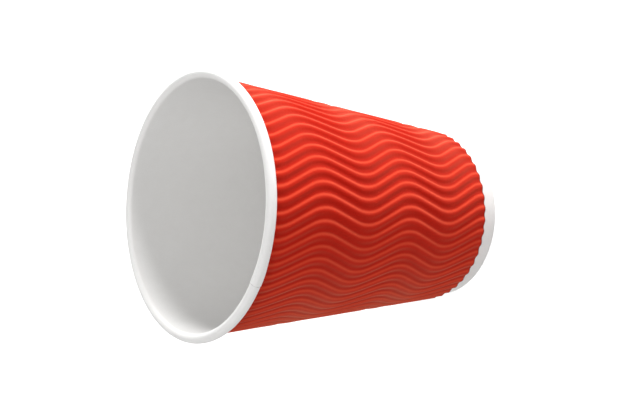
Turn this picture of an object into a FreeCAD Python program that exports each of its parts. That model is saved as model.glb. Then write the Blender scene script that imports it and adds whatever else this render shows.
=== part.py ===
"""Ripple-walled paper cup, 12 oz size: a tapered board cup with a corrugated paper sleeve glued round it.

Units are millimetres. The cup stands on z = 0 with its mouth at +Z, and its axis is the Z axis.
It is three pieces of paper: the wall, one sheet lapped at its side, hemmed at the foot and rolled at
the rim; the base, a stamped disc whose skirt is held in the hem; and the ripple sleeve, one
corrugated sheet. Round forms are rings of flat facets, so the model stays light.
"""
import FreeCAD, Part
import math
import os

import Sketcher

doc = FreeCAD.newDocument("ripple_cup")
Vector = FreeCAD.Vector
UP = Vector(0, 0, 1)

SIZES = {
    # overall form; the foot's radius is measured at the top of its bevel
    "rim_radius": 45.0,
    "cup_height": 110.0,
    "foot_radius": 29.75,
    # the wall's board, its rolled rim and the hem at its foot
    "wall_sheet": 0.35,
    "curl_radius": 1.675,
    "curl_turn": 315.0,
    "foot_bevel": 0.25,
    "hem_height": 7.5,
    # the side seam, where the board laps itself inside the cup
    "seam_angle": -122.0,
    "lap_sides": 2.0,
    "lap_sheet": 0.25,
    "lap_end_gap": 0.3,
    # the base disc and its skirt
    "base_sheet": 0.35,
    "base_fit": 0.05,
    "base_level": 9.0,
    "base_bevel": 0.4,
    # the corrugated sleeve: its sheet, its ends and its ripples
    "sleeve_sheet": 0.25,
    "sleeve_bottom": 6.7,
    "sleeve_curl_gap": 0.4,
    "sleeve_seam_gap": 0.3,
    "glue_line": 0.2,
    "ripple_depth": 0.55,
    "ripple_pitch": 4.12,
    "ripple_start": 1.75,
    # the zigzag that the ripples follow up the cup, and where round the cup the sheet's middle lies
    "swing_length": 39.7,
    "swing_width": 5.8,
    "swing_peak": 30.0,
    "sleeve_middle_angle": -108.0,
    # how finely round forms are faceted
    "ring_sides": 64.0,
    "curl_step": 30.0,
}

sheet = doc.addObject("Spreadsheet::Sheet", "Sizes")
for row, (alias, value) in enumerate(SIZES.items(), start=1):
    sheet.set("A%d" % row, alias.replace("_", " "))
    sheet.set("B%d" % row, str(value))
    sheet.setAlias("B%d" % row, alias)
doc.recompute()


def size(alias):
    """A size as the sheet holds it."""
    return float(sheet.get(alias))


def bind(obj, prop, expression):
    """Ties a property to the sheet: a name in braces is one of its cells."""
    obj.setExpression(prop, expression.replace("{", "Sizes.").replace("}", ""))


def feature(name, shape):
    """A feature that holds a worked-out shape."""
    obj = doc.addObject("Part::Feature", name)
    obj.Shape = shape
    return obj


def combine(kind, name, base, tool):
    """A boolean of two objects: Part::Cut, Part::Common or Part::Fuse."""
    obj = doc.addObject(kind, name)
    obj.Base, obj.Tool = base, tool
    return obj


def turned(degrees):
    """A placement turned about the cup's axis."""
    return FreeCAD.Placement(Vector(), FreeCAD.Rotation(UP, degrees))


# Cup wall: one sheet of board, drawn in section with its true arcs, then swept round a many-sided ring.


def draw_wall_section():
    """Up the outer face, round the rolled rim, down the inner face and through the hem round the base."""
    paper, curl = size("wall_sheet"), size("curl_radius")
    bevel, foot = size("foot_bevel"), size("foot_radius")
    slot, hem = size("base_sheet") + 2 * size("base_fit"), size("hem_height")
    centre = Vector(size("rim_radius") - curl, size("cup_height") - curl, 0)
    to_centre = centre - Vector(foot, bevel, 0)
    lean = math.atan2(to_centre.x, to_centre.y) - math.asin((curl - paper) / to_centre.Length)
    roll_start = math.pi - lean
    roll_end = roll_start - math.radians(size("curl_turn"))

    def on_roll(radius, angle):
        return centre + Vector(radius * math.cos(angle), radius * math.sin(angle), 0)

    def on_wall(depth, level):
        return Vector(foot + (level - bevel) * math.tan(lean) - depth, level, 0)

    sketch = doc.addObject("Sketcher::SketchObject", "wall_section")
    sketch.Placement = FreeCAD.Placement(Vector(), FreeCAD.Rotation(Vector(1, 0, 0), 90))
    corners = [on_wall(0, bevel), on_roll(curl - paper, roll_start), on_roll(curl - paper, roll_end),
               on_roll(curl, roll_end), on_roll(curl, roll_start), on_wall(paper, paper),
               on_wall(paper + slot, paper), on_wall(paper + slot, hem), on_wall(2 * paper + slot, hem),
               on_wall(2 * paper + slot, bevel), on_wall(2 * paper + slot - bevel, 0), on_wall(bevel, 0)]

    def line(first, last):
        return sketch.addGeometry(Part.LineSegment(corners[first], corners[last]), False)

    def roll(radius):
        circle = Part.Circle(centre, UP, radius)
        return sketch.addGeometry(Part.ArcOfCircle(circle, roll_end, roll_start), False)

    outer, roll_in, lip = line(0, 1), roll(curl - paper), line(2, 3)
    roll_out, inner, floor = roll(curl), line(4, 5), line(5, 6)
    hem_out, hem_top, hem_in = line(6, 7), line(7, 8), line(8, 9)
    bevel_in, foot_flat, bevel_out = line(9, 10), line(10, 11), line(11, 0)
    start, end, middle, origin = 1, 2, 3, (-1, 1)

    def tie(kind, *parts):
        return sketch.addConstraint(Sketcher.Constraint(kind, *parts))

    def dimension(expression, kind, *parts):
        bind(sketch, "Constraints[%d]" % tie(kind, *parts), expression)

    def reading(name, kind, *parts):
        index = tie(kind, *parts)
        sketch.setDriving(index, False)
        sketch.renameConstraint(index, name)

    tie("Tangent", outer, end, roll_in, end)
    tie("Tangent", roll_out, end, inner, start)
    tie("Coincident", roll_in, start, lip, start)
    tie("Coincident", lip, end, roll_out, start)
    tie("Coincident", roll_in, middle, roll_out, middle)
    tie("PointOnObject", roll_out, middle, lip)
    around = [inner, floor, hem_out, hem_top, hem_in, bevel_in, foot_flat, bevel_out, outer]
    for before, after in zip(around, around[1:]):
        tie("Coincident", before, end, after, start)
    for flat in (floor, hem_top, foot_flat):
        tie("Horizontal", flat)
    for side in (inner, hem_out, hem_in):
        tie("Parallel", side, outer)
    dimension("{rim_radius} - {curl_radius}", "DistanceX", *origin, roll_out, middle, centre.x)
    dimension("{cup_height} - {curl_radius}", "DistanceY", *origin, roll_out, middle, centre.y)
    dimension("{curl_radius}", "Radius", roll_out, curl)
    dimension("{curl_radius} - {wall_sheet}", "Radius", roll_in, curl - paper)
    dimension("(450 - {curl_turn}) * 1 deg", "Angle", outer, start, lip, start,
              math.radians(450 - size("curl_turn")))
    dimension("{foot_radius}", "DistanceX", *origin, outer, start, foot)
    dimension("{foot_bevel}", "DistanceY", *origin, outer, start, bevel)
    dimension("{foot_bevel}", "DistanceX", foot_flat, end, outer, start, bevel)
    dimension("{foot_bevel}", "DistanceY", foot_flat, end, outer, start, bevel)
    dimension("{wall_sheet}", "DistanceY", *origin, floor, start, paper)
    dimension("{base_sheet} + 2 * {base_fit}", "DistanceX", floor, end, floor, start, slot)
    dimension("{hem_height}", "DistanceY", *origin, hem_top, start, hem)
    dimension("{wall_sheet}", "DistanceX", hem_top, end, hem_top, start, paper)
    dimension("{foot_bevel}", "DistanceX", bevel_in, start, bevel_in, end, bevel)
    dimension("{foot_bevel}", "DistanceY", bevel_in, end, bevel_in, start, bevel)
    reading("top_radius", "DistanceX", *origin, outer, end, corners[1].x)
    reading("top_level", "DistanceY", *origin, outer, end, corners[1].y)
    doc.recompute()
    return sketch


def faceted(sketch):
    """The section's outline with its arcs as chords, with corners at the rim's top and outermost points."""
    wire = sketch.Shape.Wires[0]
    corners = [vertex.Point for vertex in wire.OrderedVertexes]
    step = math.radians(size("curl_step"))
    outline = []
    for edge, corner, following in zip(wire.OrderedEdges, corners, corners[1:] + corners[:1]):
        outline.append(corner)
        if isinstance(edge.Curve, Part.Circle):
            centre, radius = edge.Curve.Center, edge.Curve.Radius
            first, last = (math.atan2(tip.z - centre.z, tip.x - centre.x) for tip in (corner, following))
            low, high = sorted((first, last))
            turns = range(math.ceil(low / step), math.floor(high / step) + 1)
            for angle in sorted((turn * step for turn in turns), reverse=first > last):
                outline.append(centre + Vector(radius * math.cos(angle), 0, radius * math.sin(angle)))
    return Part.makePolygon(outline + outline[:1])


def ring(name, radius, level):
    """A many-sided ring about the axis, with a corner on the side seam; radius and level are expressions."""
    polygon = doc.addObject("Part::RegularPolygon", name)
    polygon.Placement = turned(size("seam_angle"))
    bind(polygon, "Polygon", "{ring_sides}")
    bind(polygon, "Circumradius", radius)
    bind(polygon, "Placement.Base.z", level)
    return polygon


section = draw_wall_section()
top_radius, top_level = section.getDatum("top_radius").Value, section.getDatum("top_level").Value
lean = math.atan2(top_radius - size("foot_radius"), top_level - size("foot_bevel"))


def wall_radius(level):
    """The wall's outer radius at a height."""
    return size("foot_radius") + (level - size("foot_bevel")) * math.tan(lean)


def inner_radius(level):
    """The wall's inner radius at a height."""
    return wall_radius(level) - size("wall_sheet") / math.cos(lean)


wall_outline = feature("wall_outline", faceted(section))
wall_outline.Placement = turned(size("seam_angle"))
wall_sheet = doc.addObject("Part::Sweep", "wall_sheet_swept")
wall_sheet.Sections = [wall_outline]
wall_sheet.Spine = (ring("wall_ring", "{rim_radius}", "0"), [])
wall_sheet.Transition = "Right corner"
wall_sheet.Solid = True


# The side seam: inside the cup the board's end lies over itself, from above the base disc up to the roll.


def lap_slice(level):
    """The lap's outline at a height, from inside the board's thickness to the face of the extra layer."""
    first = math.radians(size("seam_angle"))
    side = 2 * math.pi / size("ring_sides")
    angles = [first + count * side for count in range(int(size("lap_sides")) + 1)]
    back = inner_radius(level) + size("wall_sheet") / 2
    face = inner_radius(level) - size("lap_sheet")
    outline = [(back, angle) for angle in angles] + [(face, angle) for angle in reversed(angles)]
    corners = [Vector(radius * math.cos(angle), radius * math.sin(angle), level) for radius, angle in outline]
    return Part.makePolygon(corners + corners[:1])


lap_levels = (size("base_level") + size("lap_end_gap"), size("cup_height") - size("curl_radius"))
side_lap = feature("side_lap", Part.makeLoft([lap_slice(level) for level in lap_levels], True, True))
cup_wall = combine("Part::Fuse", "cup_wall", wall_sheet, side_lap)


# Cup base: a disc whose skirt turns down into the hem's slot and follows the wall's lean.

RUN = "(wall_section.Constraints.top_radius / 1 mm - {foot_radius})"
RISE = "(wall_section.Constraints.top_level / 1 mm - {foot_bevel})"


def skirt_radius(level):
    """The skirt's outer radius at a height, as an expression."""
    wall = "{foot_radius} + (%s - {foot_bevel}) * %s / %s" % (level, RUN, RISE)
    return "%s - {wall_sheet} * sqrt(1 + (%s / %s) ^ 2) - {base_fit}" % (wall, RUN, RISE)


def stack(name, *rings):
    """A solid with flat sides through rings given as radius and level."""
    loft = doc.addObject("Part::Loft", name)
    loft.Sections = [ring("%s_ring%d" % (name, count), *pair) for count, pair in enumerate(rings)]
    loft.Ruled = True
    loft.Solid = True
    return loft


skirt_foot = "({wall_sheet} + {base_fit})"
shoulder = "({base_level} - {base_bevel})"
underside = "({base_level} - {base_sheet})"
below = "(-{foot_bevel})"
base_outside = stack("base_outside", (skirt_radius(skirt_foot), skirt_foot), (skirt_radius(shoulder), shoulder),
                     (skirt_radius("{base_level}") + " - {base_bevel}", "{base_level}"))
base_hollow = stack("base_hollow", (skirt_radius(below) + " - {base_sheet}", below),
                    (skirt_radius(underside) + " - {base_sheet}", underside))
cup_base = combine("Part::Cut", "cup_base", base_outside, base_hollow)


# Ripple sleeve: a sheet corrugated while flat, whose ripples run side by side in a zigzag, cut to
# the fan that wraps the cup and glued on. A place on the flat sheet is a distance up the cup along the
# ripples' run, from mid height, and a distance across them, from the sheet's middle line.

SLEEVE_TOP = size("cup_height") - 2 * size("curl_radius") - size("sleeve_curl_gap")
MID_SHEET = size("glue_line") + size("sleeve_sheet") / 2 + size("ripple_depth") / 2
APEX_LEVEL = size("foot_bevel") - (size("foot_radius") + MID_SHEET) / math.tan(lean)


def slant(level):
    """How far a level lies from the cone's apex, along the sheet."""
    return (level - APEX_LEVEL) / math.cos(lean)


def wrap(along, across, height):
    """Where a place on the flat sheet comes to lie once it is wrapped, at a height off the sheet's middle."""
    forward = slant(size("cup_height") / 2) + along
    distance = math.hypot(forward, across)
    angle = math.radians(size("sleeve_middle_angle")) + math.atan2(across, forward) / math.sin(lean)
    radius = distance * math.sin(lean) + height
    return Vector(radius * math.cos(angle), radius * math.sin(angle), APEX_LEVEL + distance * math.cos(lean))


def zigzag_rows():
    """Lines across the ripples' path as along, sideways: its peaks, its troughs and the middles between them."""
    quarter, swing = size("swing_length") / 4, size("swing_width") / 2
    lowest = slant(size("sleeve_bottom")) * math.cos(math.pi * math.sin(lean)) - slant(size("cup_height") / 2)
    highest = slant(SLEEVE_TOP) - slant(size("cup_height") / 2)
    lines = range(math.floor((lowest - size("swing_peak")) / quarter),
                  math.ceil((highest - size("swing_peak")) / quarter) + 1)
    return [(size("swing_peak") + line * quarter, (swing, 0, -swing, 0)[line % 4]) for line in lines]


def corrugated_half(side):
    """Half of the wrapped sheet, past its seam and ends; side is 1 ahead of the middle line, -1 behind it."""
    middle, pitch, wave = size("ripple_start"), size("ripple_pitch"), size("ripple_depth") / 2
    reach = slant(SLEEVE_TOP) * math.sin(math.pi * math.sin(lean)) + size("swing_width")
    folds = range(2 * (math.ceil(reach / pitch) + 1) + 1)
    rows = zigzag_rows()

    def net(offset):
        return [[wrap(along, middle + sideways + side * fold * pitch / 2,
                      offset + (-wave if fold % 2 else wave)) for fold in folds] for along, sideways in rows]

    outer, inner = net(size("sleeve_sheet") / 2), net(-size("sleeve_sheet") / 2)
    faces = []

    def strip(first, last):
        for near, near_next, far, far_next in zip(first, first[1:], last, last[1:]):
            for corners in ((near, near_next, far_next), (near, far_next, far)):
                faces.append(Part.Face(Part.makePolygon(corners + corners[:1])))

    for layer in (outer, inner):
        for lower, upper in zip(layer, layer[1:]):
            strip(lower, upper)
    for edge in (0, -1):
        strip(outer[edge], inner[edge])
        strip([line[edge] for line in outer], [line[edge] for line in inner])
    solid = Part.Solid(Part.Shell(faces))
    if solid.Volume < 0:
        solid.reverse()
    return solid


def block(name, corner, length, width, height):
    """A trimming block turned with the sleeve, whose sizes are expressions."""
    box = doc.addObject("Part::Box", name)
    bind(box, "Length", length)
    bind(box, "Width", width)
    bind(box, "Height", height)
    box.Placement = turned(size("sleeve_middle_angle")) * FreeCAD.Placement(corner, FreeCAD.Rotation())
    return box


def trimmed_half(name, side):
    """Half of the sleeve, cut level at its two ends and straight at the seam."""
    reach, gap = 2 * size("rim_radius"), size("sleeve_seam_gap") / 2
    web = feature(name + "_web", corrugated_half(side))
    band = block(name + "_band", Vector(-reach, -reach, size("sleeve_bottom")), "4 * {rim_radius}",
                 "4 * {rim_radius}",
                 "{cup_height} - 2 * {curl_radius} - {sleeve_curl_gap} - {sleeve_bottom}")
    seam_side = Vector(-reach, -reach + gap, 0) if side > 0 else Vector(-reach, -gap, 0)
    beyond = block(name + "_beyond", seam_side, "2 * {rim_radius}", "2 * {rim_radius}", "{cup_height}")
    kept = combine("Part::Cut", name + "_kept", band, beyond)
    return combine("Part::Common", name, web, kept)


ripple_sleeve = combine("Part::Fuse", "ripple_sleeve", trimmed_half("sleeve_ahead", 1),
                        trimmed_half("sleeve_behind", -1))


# Check every object, then write each piece.

doc.recompute()
for obj in doc.Objects:
    faults = {"Invalid", "Error"} & set(obj.State)
    if faults:
        raise RuntimeError("%s: %s" % (obj.Name, ", ".join(faults)))

os.makedirs("parts", exist_ok=True)
for piece in (cup_wall, cup_base, ripple_sleeve):
    shape = piece.Shape
    if shape.isNull() or not shape.isValid() or len(shape.Solids) != 1:
        raise RuntimeError("%s isn't one sound solid" % piece.Label)
    shape.exportStep("parts/%s.step" % piece.Label)
    print(piece.Label, "faces", len(shape.Faces), "volume", round(shape.Volume, 1))
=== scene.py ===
import math

import bmesh
import bpy
from mathutils import Matrix, Vector


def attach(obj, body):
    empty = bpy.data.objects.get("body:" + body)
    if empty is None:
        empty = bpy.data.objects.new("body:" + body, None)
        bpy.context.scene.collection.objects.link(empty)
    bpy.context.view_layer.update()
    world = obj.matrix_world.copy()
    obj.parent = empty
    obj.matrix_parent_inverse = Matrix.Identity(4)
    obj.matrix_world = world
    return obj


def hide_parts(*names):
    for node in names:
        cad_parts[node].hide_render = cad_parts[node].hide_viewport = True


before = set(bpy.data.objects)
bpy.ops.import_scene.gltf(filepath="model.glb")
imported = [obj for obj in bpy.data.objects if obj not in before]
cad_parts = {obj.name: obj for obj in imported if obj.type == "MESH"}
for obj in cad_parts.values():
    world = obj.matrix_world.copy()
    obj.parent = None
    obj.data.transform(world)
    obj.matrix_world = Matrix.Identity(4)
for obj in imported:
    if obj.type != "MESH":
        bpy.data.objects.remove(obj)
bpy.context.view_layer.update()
MM = 0.001


# Cup wall: one sheet of coated white board, bent into a cone and lapped at its side. Its lower end is
# folded up inside as a hem, and its upper end is rolled outwards into the rim.

RIM_RADIUS = 44.975
CUP_HEIGHT = 110.0
FOOT_RADIUS = 29.74
FOOT_BEVEL = 0.25
WALL_SHEET = 0.35
CURL_RADIUS = 1.675
CURL_TURN = math.radians(315)
HEM_HEIGHT = 7.5
HEM_SLOT = 0.45
HEM_TOP = [Vector((0, 0)), Vector((-0.12, 0.06)), Vector((-0.26, 0.04)), Vector((-WALL_SHEET, -0.06))]
OUTER_BEND = [Vector((-0.14, -0.22)), Vector((-0.05, -0.14))]
INNER_BEND = [Vector((0, 0)), Vector((0.05, -0.14)), Vector((0.14, -0.22))]
FOOT_FLAT = FOOT_BEVEL + 0.03
OUTER_FACE_POINTS = 16
INNER_FACE_POINTS = 26
ROLL_INSIDE_POINTS = 44
ROLL_OUTSIDE_POINTS = 60
HEM_POINTS = 6
CURL_CENTRE = Vector((RIM_RADIUS - CURL_RADIUS, CUP_HEIGHT - CURL_RADIUS))
TO_CURL = CURL_CENTRE - Vector((FOOT_RADIUS, FOOT_BEVEL))
LEAN = math.atan2(TO_CURL.x, TO_CURL.y) - math.asin((CURL_RADIUS - WALL_SHEET) / TO_CURL.length)


def wall_radius(level):
    """The wall's outer radius at a height."""
    return FOOT_RADIUS + (level - FOOT_BEVEL) * math.tan(LEAN)


def inner_radius(level):
    """The wall's inner radius at a height."""
    return wall_radius(level) - WALL_SHEET / math.cos(LEAN)


def spread(first, last, count):
    """Evenly spaced numbers, both ends included."""
    return [first + (last - first) * step / (count - 1) for step in range(count)]


def turned_mesh(name, outline, angles, shift=None):
    """A closed mesh swept round the axis from an outline of (radius, level); shift may move each point."""
    verts, faces = [], []
    for angle in angles:
        for point in outline:
            radius, level = shift(angle, point) if shift else point
            verts.append((radius * MM * math.cos(angle), radius * MM * math.sin(angle), level * MM))
    count = len(outline)
    for turn in range(len(angles)):
        near, far = turn * count, (turn + 1) % len(angles) * count
        for step in range(count):
            following = (step + 1) % count
            faces.append((near + step, near + following, far + following, far + step))
    mesh = bpy.data.meshes.new(name)
    mesh.from_pydata(verts, [], faces)
    mesh.validate()
    mesh.shade_smooth()
    return mesh


def piece(name, mesh, node):
    """Puts a finished mesh in the scene in place of its CAD node."""
    thing = bpy.data.objects.new(name, mesh)
    bpy.context.scene.collection.objects.link(thing)
    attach(thing, "root")
    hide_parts(node)


def span(first, last, count):
    """Points along a straight run of the wall's section, without its last one."""
    return [first.lerp(last, step) for step in spread(0, 1, count)[:-1]]


def roll(radius, first, last, count):
    """Points round the rolled rim's centre."""
    return [CURL_CENTRE + Vector((radius * math.cos(turn), radius * math.sin(turn)))
            for turn in spread(first, last, count)]


def wall_outline():
    """Up the outer face, round the roll inside and back outside, down the inner face, and round the hem."""
    roll_start = math.pi - LEAN
    roll_end = roll_start - CURL_TURN
    roll_inside = roll(CURL_RADIUS - WALL_SHEET, roll_start, roll_end, ROLL_INSIDE_POINTS)
    roll_outside = roll(CURL_RADIUS, roll_end, roll_start, ROLL_OUTSIDE_POINTS)
    outer_foot = Vector((FOOT_RADIUS, FOOT_BEVEL))
    inner_foot = Vector((inner_radius(WALL_SHEET), WALL_SHEET))
    hem_foot = inner_foot - Vector((HEM_SLOT, 0))
    hem_top = hem_foot + Vector(((HEM_HEIGHT - WALL_SHEET) * math.tan(LEAN), HEM_HEIGHT - WALL_SHEET))
    hem_inner = Vector((hem_foot.x - WALL_SHEET, FOOT_BEVEL))
    return (span(outer_foot, roll_inside[0], OUTER_FACE_POINTS) + roll_inside + roll_outside
            + span(roll_outside[-1], inner_foot, INNER_FACE_POINTS)[1:] + span(inner_foot, hem_foot, 3)
            + span(hem_foot, hem_top, HEM_POINTS) + [hem_top + step for step in HEM_TOP]
            + span(hem_top - Vector((WALL_SHEET, 0.3)), hem_inner, HEM_POINTS)
            + [hem_inner + step for step in INNER_BEND]
            + [hem_inner + Vector((FOOT_FLAT, -FOOT_BEVEL)), Vector((FOOT_RADIUS - FOOT_FLAT, 0))]
            + [outer_foot + step for step in OUTER_BEND])


# The side seam: angles are measured from the board's cut edge, which is drawn by two close lines of the mesh.

SEAM_ANGLE = math.radians(-122)
LAP_TURN = math.radians(11.25)
LAP_SHEET = 0.25
LAP_START = 9.3
LAP_ON_ROLL = 0.13
LAP_EDGE = math.radians(0.1)
LAP_FALL = 1.6
SEAM_LINES = [-0.06, 0, 0.14, 0.2]
# The two lines at the cut edge that carry the painted shade of the lap's step.
STEP_SHADE_LINES = (0, 0.14)
TURN_STEP = 1.25


def on_roll(point):
    """Whether a point of the section is on the outside of the rolled rim."""
    return abs((point - CURL_CENTRE).length - CURL_RADIUS) < 0.001


def on_inner_face(point):
    """Whether a point of the section is on the cup's inner face, above the base."""
    return point.y > LAP_START and abs(point.x - inner_radius(point.y)) < 0.01


def lapped(angle, point):
    """A point of the section, lifted where the board laps over itself, with a step only at its cut edge."""
    from_seam = (angle - SEAM_ANGLE) % math.tau
    if LAP_EDGE < from_seam < LAP_TURN:
        raised = math.sin(math.pi / 2 * min(1, LAP_FALL * (1 - from_seam / LAP_TURN))) ** 2
        if on_roll(point):
            lifted = CURL_CENTRE + (point - CURL_CENTRE) * (1 + LAP_ON_ROLL * raised / CURL_RADIUS)
            return min(lifted.x, RIM_RADIUS), min(lifted.y, CUP_HEIGHT)
        if on_inner_face(point):
            return point.x - LAP_SHEET * raised, point.y
    return point.x, point.y


wall_section = wall_outline()
wall_lines = SEAM_LINES + [TURN_STEP * step for step in range(1, round(360 / TURN_STEP))]
wall_angles = [SEAM_ANGLE + math.radians(line) for line in wall_lines]
wall_mesh = turned_mesh("cup_wall_board", wall_section, wall_angles, lapped)
# Painted shade: the points along the lap's cut edge, where the board steps down, are darkened to grey in the
# board's colour.
lap_step_shade = [1.0 if line in STEP_SHADE_LINES and (on_roll(point) or on_inner_face(point)) else 0.0
            for line in wall_lines for point in wall_section]
wall_mesh.attributes.new("lap_step_shade", "FLOAT", "POINT").data.foreach_set("value", lap_step_shade)


class Wire:
    """A socket of a node tree that can be added, scaled and compared as a number is."""

    def __init__(self, tree, socket):
        self.tree, self.socket = tree, socket

    def math(self, operation, *others):
        """A Math node with this as its first value."""
        names = range(1 + len(others))
        return node(self.tree, "ShaderNodeMath", {"operation": operation}, dict(zip(names, (self, *others))))

    def __add__(self, other):
        return self.math("ADD", other)

    def __radd__(self, other):
        return self.math("ADD", other)

    def __sub__(self, other):
        return self.math("SUBTRACT", other)

    def __rsub__(self, other):
        return node(self.tree, "ShaderNodeMath", {"operation": "SUBTRACT"}, {0: other, 1: self})

    def __mul__(self, other):
        return self.math("MULTIPLY", other)

    def __rmul__(self, other):
        return self.math("MULTIPLY", other)

    def __truediv__(self, other):
        return self.math("DIVIDE", other)

    def __abs__(self):
        return self.math("ABSOLUTE")


def node(tree, kind, settings=None, values=None, output=0):
    """Adds a node: its type, its settings, which come first, and the values or wires of its sockets."""
    made = tree.nodes.new(kind)
    for setting, value in (settings or {}).items():
        setattr(made, setting, value)
    for socket, value in (values or {}).items():
        if isinstance(value, Wire):
            tree.links.new(value.socket, made.inputs[socket])
        else:
            made.inputs[socket].default_value = value
    return Wire(tree, made.outputs[output]) if made.outputs else None


def blank_material(name):
    """A new material with an empty tree."""
    material = bpy.data.materials.new(name)
    material.use_nodes = True
    material.node_tree.nodes.clear()
    return material, material.node_tree


def mix(tree, amount, first, second):
    """Two colours mixed."""
    return node(tree, "ShaderNodeMix", {"data_type": "RGBA"}, {"Factor": amount, 6: first, 7: second}, output=2)


def measured(tree, name):
    """A number that the mesh carries at each point."""
    return node(tree, "ShaderNodeAttribute", {"attribute_name": name}, output="Fac")


def noise(tree, place, scale, detail=3.0, roughness=0.55):
    """Noise about 0.5 whose grains are one over the scale across, in metres."""
    return node(tree, "ShaderNodeTexNoise", {"noise_dimensions": "3D"},
                {"Vector": place, "Scale": scale, "Detail": detail, "Roughness": roughness})


def paper_fibres(tree, place, across, along):
    """Short matted fibres: noise squeezed across the sheet's grain."""
    squeezed = node(tree, "ShaderNodeMapping", None, {"Vector": place, "Scale": (across, along, along)})
    return noise(tree, squeezed, 1.0, 4.0, 0.6)


BOARD_DULL = (0.80, 0.79, 0.775, 1)
BOARD_CLEAN = (0.88, 0.875, 0.865, 1)
# The last grey is painted shade for the lap's step at the board's cut edge.
BOARD_STEP_SHADE = (0.30, 0.285, 0.26, 1)
FIBRE_DEPTH = 0.00004


def white_board():
    """Coated cup board: a warm white with faint fibre clouding, satin, and painted shade in dark grey along the
    lap's cut edge.
    """
    material, tree = blank_material("white_board")
    place = node(tree, "ShaderNodeTexCoord", output="Object")
    clouding = noise(tree, place, 260.0, 4.0)
    fibres = paper_fibres(tree, place, 2600.0, 1100.0)
    cut = measured(tree, "lap_step_shade")
    tone = (clouding - 0.5) * 0.5 + (fibres - 0.5) * 0.5 + 0.5
    board = mix(tree, tone, BOARD_DULL, BOARD_CLEAN)
    # Painted shade along the lap's cut edge.
    board = mix(tree, cut * 0.75, board, BOARD_STEP_SHADE)
    relief = fibres * 0.6 + clouding * 0.4
    bump = node(tree, "ShaderNodeBump", None, {"Strength": 0.12, "Distance": FIBRE_DEPTH, "Height": relief})
    shader = node(tree, "ShaderNodeBsdfPrincipled", None,
                  {"Base Color": board, "Roughness": 0.40 + clouding * 0.12, "Specular IOR Level": 0.35,
                   "Normal": bump})
    node(tree, "ShaderNodeOutputMaterial", None, {"Surface": shader})
    return material


SHARP_EDGE = math.radians(50)
BOARD = white_board()
wall_mesh.materials.append(BOARD)
wall_mesh.set_sharp_from_angle(angle=SHARP_EDGE)
piece("cup_wall_board", wall_mesh, "cup_wall")


# Base: a stamped disc of the same board, dished a little, whose skirt turns down and is held in the hem.

BASE_SHEET = 0.35
BASE_LEVEL = 9.0
BASE_FIT = 0.05
BASE_SHOULDER = 0.4
SKIRT_FOOT = 0.4
DISH = 0.12
DISH_SHARES = (0.0, 0.3, 0.55, 0.75, 0.86, 0.93, 0.97)
BASE_TURNS = 192


def base_outline():
    """From the disc's middle out over the shoulder, down the skirt, and back up under the disc."""
    def skirt(level, depth):
        return Vector((inner_radius(level) - BASE_FIT - depth, level))

    shoulder = skirt(BASE_LEVEL - BASE_SHOULDER, 0)
    rim = Vector((skirt(BASE_LEVEL, 0).x - BASE_SHOULDER, BASE_LEVEL))
    bend = Vector((skirt(BASE_LEVEL, 0).x, BASE_LEVEL))
    over = [rim.lerp(bend, t).lerp(bend.lerp(shoulder, t), t) for t in spread(0, 1, 6)]
    under = Vector((rim.x - 0.1, BASE_LEVEL - BASE_SHEET))
    inner_bend = skirt(BASE_LEVEL - BASE_SHEET - 0.3, BASE_SHEET)
    top = [Vector((rim.x * t, BASE_LEVEL - DISH * (1 - t ** 6))) for t in DISH_SHARES]
    bottom = [point - Vector((0, BASE_SHEET)) for point in reversed(top)]
    return (top + over + span(over[-1], skirt(SKIRT_FOOT, 0), 8)[1:]
            + [skirt(SKIRT_FOOT, 0.06), skirt(SKIRT_FOOT, 0.29)]
            + span(skirt(SKIRT_FOOT, BASE_SHEET) + Vector((0, 0.1)), inner_bend, 8)
            + [inner_bend, inner_bend.lerp(under, 0.4) + Vector((0.04, 0.05)), under] + bottom)


def disc_mesh(name, outline, turns):
    """A closed round mesh whose outline starts and ends on the axis."""
    mesh = turned_mesh(name, outline, [math.tau * turn / turns for turn in range(turns)])
    edit = bmesh.new()
    edit.from_mesh(mesh)
    bmesh.ops.remove_doubles(edit, verts=edit.verts, dist=1e-7)
    bmesh.ops.recalc_face_normals(edit, faces=edit.faces)
    edit.to_mesh(mesh)
    edit.free()
    mesh.shade_smooth()
    return mesh


base_mesh = disc_mesh("cup_base_disc", base_outline(), BASE_TURNS)
base_mesh.materials.append(BOARD)
base_mesh.set_sharp_from_angle(angle=SHARP_EDGE)
piece("cup_base_disc", base_mesh, "cup_base")


# Ripple sleeve: a sheet of red paper, corrugated while flat by rolls whose ripples sway from side to
# side in a rounded zigzag, then cut to the fan that wraps the cup, glued on, and closed at the back.

SLEEVE_SIZES = {
    "Sheet": 0.25,
    "Bottom": 6.7,
    "Top": 106.25,
    "Ripple depth": 0.55,
    "Ripple pitch": 4.12,
    "Ripple start": 1.75,
    "Swing length": 39.7,
    "Swing width": 5.8,
    "Swing slope": 0.4,
    "Swing peak": 30.3,
    "Bend radius": 13.6,
    "Middle angle": math.radians(-108),
    "Seam gap": 0.3,
}
GLUE_LINE = 0.2
MID_SHEET = GLUE_LINE + SLEEVE_SIZES["Sheet"] / 2 + SLEEVE_SIZES["Ripple depth"] / 2
SLEEVE_APEX = FOOT_BEVEL - (FOOT_RADIUS + MID_SHEET) / math.tan(LEAN)
MID_SLANT = (CUP_HEIGHT / 2 - SLEEVE_APEX) / math.cos(LEAN)
RIPPLES = 66
LINES_A_RIPPLE = 12
SLEEVE_ROWS = 60
RIPPLE_FLANK = 0.62
SHARP_FOLD = 0.8
WELD = 0.000002

# The painted highlight: a paler strip on one flank of each ripple, in shares of the pitch from the crest.

HIGHLIGHT_MIDDLE = 0.22
HIGHLIGHT_REACH = 0.17


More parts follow.
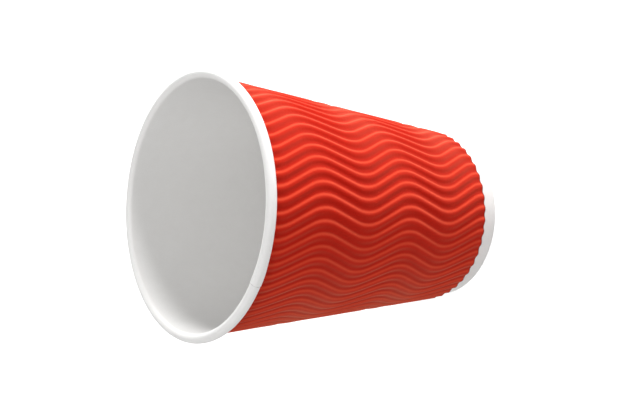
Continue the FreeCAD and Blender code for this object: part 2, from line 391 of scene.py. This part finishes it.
def sleeve_tree(paper):
    """Geometry Nodes: a grid whose columns follow the ripples; its rows go up the face and down the back."""
    tree = bpy.data.node_groups.new("ripple_sleeve", "GeometryNodeTree")
    for name, value in SLEEVE_SIZES.items():
        made = tree.interface.new_socket(name=name, in_out="INPUT", socket_type="NodeSocketFloat")
        made.default_value = value
    tree.interface.new_socket(name="Sleeve", in_out="OUTPUT", socket_type="NodeSocketGeometry")
    sizes = {name: node(tree, "NodeGroupInput", output=name) for name in SLEEVE_SIZES}
    pitch, start, depth = sizes["Ripple pitch"], sizes["Ripple start"], sizes["Ripple depth"]

    def sway(along):
        """How far the ripples lie to one side at a distance up the flat sheet."""
        length, slope, bend = sizes["Swing length"], sizes["Swing slope"], sizes["Bend radius"]
        waves = (along - sizes["Swing peak"]) / length
        from_peak = abs(waves - waves.math("ROUND")) * length
        to_bend = from_peak.math("MINIMUM", length * 0.5 - from_peak)
        in_bend = to_bend.math("MINIMUM", bend * slope)
        drop = in_bend * in_bend / bend * 0.5 + (to_bend - in_bend) * slope
        side = (length * 0.25 - from_peak).math("SIGN")
        return (sizes["Swing width"] * 0.5 - drop) * side

    columns, rows = RIPPLES * LINES_A_RIPPLE + 1, 2 * SLEEVE_ROWS + 1
    grid = node(tree, "GeometryNodeMeshGrid", None,
                {"Size X": 2.0, "Size Y": 2.0, "Vertices X": columns, "Vertices Y": rows})
    place = node(tree, "GeometryNodeInputPosition")
    across = node(tree, "ShaderNodeSeparateXYZ", None, {0: place}, output="X")
    around = node(tree, "ShaderNodeSeparateXYZ", None, {0: place}, output="Y")
    step = (around + 1.0) * float(SLEEVE_ROWS)
    on_face = step.math("LESS_THAN", SLEEVE_ROWS - 0.5)
    on_face = on_face.math("MAXIMUM", step.math("GREATER_THAN", 2 * SLEEVE_ROWS - 0.5))
    face_row = step.math("MODULO", 2.0 * SLEEVE_ROWS)
    back_row = 2.0 * SLEEVE_ROWS - 1.0 - step
    row = on_face * face_row + (1.0 - on_face) * back_row
    share = row / float(SLEEVE_ROWS - 1)
    level = sizes["Bottom"] + (sizes["Top"] - sizes["Bottom"]) * share
    slant = (level - SLEEVE_APEX) / math.cos(LEAN)
    ripple = across * (RIPPLES / 2)
    along = slant - MID_SLANT
    for _ in range(4):
        sideways = start + ripple * pitch + sway(along)
        along = (slant * slant - sideways * sideways).math("SQRT") - MID_SLANT
    seam = math.pi * math.sin(LEAN) - sizes["Seam gap"] * 0.5 / slant
    turn = (sideways / slant).math("ARCSINE").math("MINIMUM", seam)
    turn = turn.math("MAXIMUM", seam * -1.0)
    along = slant * turn.math("COSINE") - MID_SLANT
    sideways = slant * turn.math("SINE")
    ripples = (sideways - start - sway(along)) / pitch
    from_crest = ripples - ripples.math("ROUND")
    steep = (1.0 - abs(from_crest) * 4.0) / RIPPLE_FLANK
    wave = steep / (abs(steep).math("POWER", 4.0) + 1.0).math("POWER", 0.25) * 0.5 + 0.5
    # Painted highlight: a paler strip on one flank of each ripple.
    flank_highlight = (1.0 - abs(from_crest - HIGHLIGHT_MIDDLE) / HIGHLIGHT_REACH).math("MAXIMUM", 0.0)
    from_end = (level - sizes["Bottom"]).math("MINIMUM", sizes["Top"] - level)
    at_side = abs(across).math("GREATER_THAN", 0.9999)
    layer = (on_face * 2.0 - 1.0) * (1.0 - at_side)
    radius = slant * math.sin(LEAN) + (wave - 0.5) * depth + layer * sizes["Sheet"] * 0.5
    angle = sizes["Middle angle"] + turn / math.sin(LEAN)
    wrapped = node(tree, "ShaderNodeCombineXYZ", None,
                   {"X": angle.math("COSINE") * radius * MM, "Y": angle.math("SINE") * radius * MM,
                    "Z": level * MM})
    flat = node(tree, "ShaderNodeCombineXYZ", None, {"X": sideways * MM, "Y": along * MM, "Z": layer * MM})
    # The sheet's back and cut sides, which the paper darkens with painted shade.
    edge = at_side.math("MAXIMUM", (1.0 - on_face))
    named = {"flat_sheet": ("FLOAT_VECTOR", flat), "ripple_height": ("FLOAT", wave),
             "painted_flank_highlight": ("FLOAT", flank_highlight), "from_end": ("FLOAT", from_end), "sheet_back": ("FLOAT", edge)}
    sheet = grid
    for name, (kind, value) in named.items():
        sheet = node(tree, "GeometryNodeStoreNamedAttribute", {"data_type": kind, "domain": "POINT"},
                     {"Geometry": sheet, "Name": name, "Value": value})
    sheet = node(tree, "GeometryNodeSetPosition", None, {"Geometry": sheet, "Position": wrapped})
    sheet = node(tree, "GeometryNodeMergeByDistance", None, {"Geometry": sheet, "Distance": WELD})
    fold = node(tree, "GeometryNodeInputMeshEdgeAngle").math("GREATER_THAN", SHARP_FOLD)
    sheet = node(tree, "GeometryNodeSetShadeSmooth", {"domain": "EDGE"},
                 {"Geometry": sheet, "Selection": fold, "Shade Smooth": False})
    sheet = node(tree, "GeometryNodeRealizeInstances", None, {"Geometry": sheet})
    sheet = node(tree, "GeometryNodeSetMaterial", None, {"Geometry": sheet, "Material": paper})
    node_out = tree.nodes.new("NodeGroupOutput")
    tree.links.new(sheet.socket, node_out.inputs["Sleeve"])
    return tree


def grown(name, tree, sizes):
    """Runs a Geometry Nodes tree with its sizes and keeps the result as a plain mesh."""
    seedling = bpy.data.objects.new(name, bpy.data.meshes.new(name + "_start"))
    bpy.context.scene.collection.objects.link(seedling)
    nodes = seedling.modifiers.new("Nodes", "NODES")
    nodes.node_group = tree
    for item in tree.interface.items_tree:
        if item.in_out == "INPUT":
            nodes[item.identifier] = sizes[item.name]
    view = bpy.context.evaluated_depsgraph_get()
    mesh = bpy.data.meshes.new_from_object(seedling.evaluated_get(view))
    bpy.data.objects.remove(seedling)
    mesh.name = name
    return mesh


# The last but one red is a painted highlight, pale orange, laid on one flank of each ripple.
RED_DEEP = (0.42, 0.004, 0.0012, 1)
RED_BRIGHT = (0.52, 0.008, 0.002, 1)
RED_HIGHLIGHT = (0.88, 0.12, 0.055, 1)
# Near-black red: painted shade for the sheet's back, its cut sides and its ends.
RED_SHADE = (0.11, 0.004, 0.003, 1)
END_SHADE_REACH = 0.45


def red_paper():
    """Red paper: a painted highlight on one flank of each ripple, painted shade in its valleys, and painted
    shade on the sheet's back, cut sides and ends.
    """
    material, tree = blank_material("red_paper")
    flat = node(tree, "ShaderNodeAttribute", {"attribute_name": "flat_sheet"}, output="Vector")
    height, back = measured(tree, "ripple_height"), measured(tree, "sheet_back")
    flank_highlight, from_end = measured(tree, "painted_flank_highlight"), measured(tree, "from_end")
    clouding = noise(tree, flat, 180.0, 4.0)
    fibres = paper_fibres(tree, flat, 3200.0, 900.0)
    # Painted shade darkening the sheet for its last half millimetre at the top and bottom ends.
    end_shade = (1.0 - from_end / END_SHADE_REACH).math("MAXIMUM", 0.0).math("POWER", 0.5)
    # Crests are painted lighter and valleys darker with the ripple's height: painted shade in the valleys. The
    # noise adds random tone.
    tone = height * 0.5 + (clouding - 0.5) * 0.5 + (fibres - 0.5) * 0.35 + 0.2
    red = mix(tree, tone, RED_DEEP, RED_BRIGHT)
    # The painted highlight on one flank of each ripple.
    red = mix(tree, flank_highlight * 0.45, red, RED_HIGHLIGHT)
    # Painted shade on the sheet's back, its cut sides and its ends.
    red = mix(tree, back.math("MAXIMUM", end_shade * 0.85), red, RED_SHADE)
    relief = fibres * 0.5 + clouding * 0.5
    bump = node(tree, "ShaderNodeBump", None, {"Strength": 0.15, "Distance": FIBRE_DEPTH, "Height": relief})
    shader = node(tree, "ShaderNodeBsdfPrincipled", None,
                  {"Base Color": red, "Roughness": 0.5 + (clouding - 0.5) * 0.14 + back * 0.3,
                   "Specular IOR Level": 0.0, "Sheen Weight": 0.36, "Sheen Roughness": 0.5,
                   "Sheen Tint": (1.0, 0.5, 0.32, 1.0), "Normal": bump})
    node(tree, "ShaderNodeOutputMaterial", None, {"Surface": shader})
    return material


RED = red_paper()
sleeve_mesh = grown("ripple_sleeve_sheet", sleeve_tree(RED), SLEEVE_SIZES)
piece("ripple_sleeve_sheet", sleeve_mesh, "ripple_sleeve")


# Table: a plain pale floor that reads as white behind the cup and keeps its shadow.

def seen_directly(tree):
    """1 where the camera, a reflection or clear plastic sees a surface, 0 for light that falls on things."""
    seen = [node(tree, "ShaderNodeLightPath", output=ray)
            for ray in ("Is Camera Ray", "Is Glossy Ray", "Is Transmission Ray")]
    return seen[0].math("MAXIMUM", seen[1]).math("MAXIMUM", seen[2])


def pale_table():
    """Matt white, lifted to white where it is seen."""
    material, tree = blank_material("pale_table")
    glow = mix(tree, seen_directly(tree), (0, 0, 0, 1), (0.55, 0.55, 0.55, 1))
    place = node(tree, "ShaderNodeTexCoord", output="Object")
    tone = noise(tree, place, 4.0, 2.0)
    colour = mix(tree, tone, (0.84, 0.84, 0.84, 1), (0.86, 0.86, 0.86, 1))
    shader = node(tree, "ShaderNodeBsdfPrincipled", None,
                  {"Base Color": colour, "Roughness": 0.9, "Specular IOR Level": 0.0, "Emission Color": glow,
                   "Emission Strength": 1.0})
    node(tree, "ShaderNodeOutputMaterial", None, {"Surface": shader})
    return material


table_mesh = bpy.data.meshes.new("table")
reach = 3.0
corners = [(-reach, -reach, 0), (reach, -reach, 0), (reach, reach, 0), (-reach, reach, 0)]
table_mesh.from_pydata(corners, [], [(0, 1, 2, 3)])
table_mesh.materials.append(pale_table())
table = bpy.data.objects.new("table", table_mesh)
bpy.context.scene.collection.objects.link(table)


# Camera: the photo's own view, found by fitting its rim, foot and sleeve edges. It looks down on the standing
# cup from in front and is rolled, so that the mouth is at the left. Its place is in metres.

camera_data = bpy.data.cameras.new("camera")
camera_data.sensor_width = 36.0
camera_data.lens = 72.38
camera_data.clip_start = 0.01
camera = bpy.data.objects.new("camera", camera_data)
bpy.context.scene.collection.objects.link(camera)
right = Vector((0.0424, -0.6002, -0.7987))
up = Vector((0.9991, 0.0255, 0.0339))
back = Vector((0, -0.7995, 0.6007))
turned = Matrix((right, up, back)).transposed().to_4x4()
camera.matrix_world = Matrix.Translation((0.0013, -0.34849, 0.32318)) @ turned
bpy.context.scene.camera = camera


# Light: a white room, two low soft lamps on the side that is up in the photo, one of them behind the cup, one
# over the mouth, and one above that lights the far inner wall.

def soft_lamp(name, place, aim, width, height, power):
    """A rectangular lamp at a place in metres, facing another."""
    data = bpy.data.lights.new(name, "AREA")
    data.shape = "RECTANGLE"
    data.size, data.size_y, data.energy = width, height, power
    lamp = bpy.data.objects.new(name, data)
    bpy.context.scene.collection.objects.link(lamp)
    lamp.location = place
    lamp.rotation_euler = (Vector(aim) - Vector(place)).to_track_quat("-Z", "Y").to_euler()


soft_lamp("side_lamp", (0.66, -0.12, 0.09), (0, 0, 0.06), 0.22, 0.22, 5.5)
soft_lamp("edge_lamp", (0.40, 0.40, 0.08), (0, 0, 0.06), 0.3, 0.3, 5.0)
soft_lamp("mouth_lamp", (0.05, -0.45, 0.62), (0, 0, 0.08), 0.3, 0.3, 1.6)
soft_lamp("far_lamp", (-0.35, 0.10, 0.62), (0, 0, 0.10), 0.3, 0.3, 1.0)

world = bpy.data.worlds.new("white_room")
bpy.context.scene.world = world
world.use_nodes = True
room = world.node_tree
room.nodes.clear()
lit = node(room, "ShaderNodeBackground", None, {"Color": (1, 1, 1, 1), "Strength": 0.36})
shown = node(room, "ShaderNodeBackground", None, {"Color": (1, 1, 1, 1), "Strength": 1.0})
sky = node(room, "ShaderNodeMixShader", None, {0: seen_directly(room), 1: lit, 2: shown})
node(room, "ShaderNodeOutputWorld", None, {"Surface": sky})

bpy.context.scene.view_settings.view_transform = "Standard"
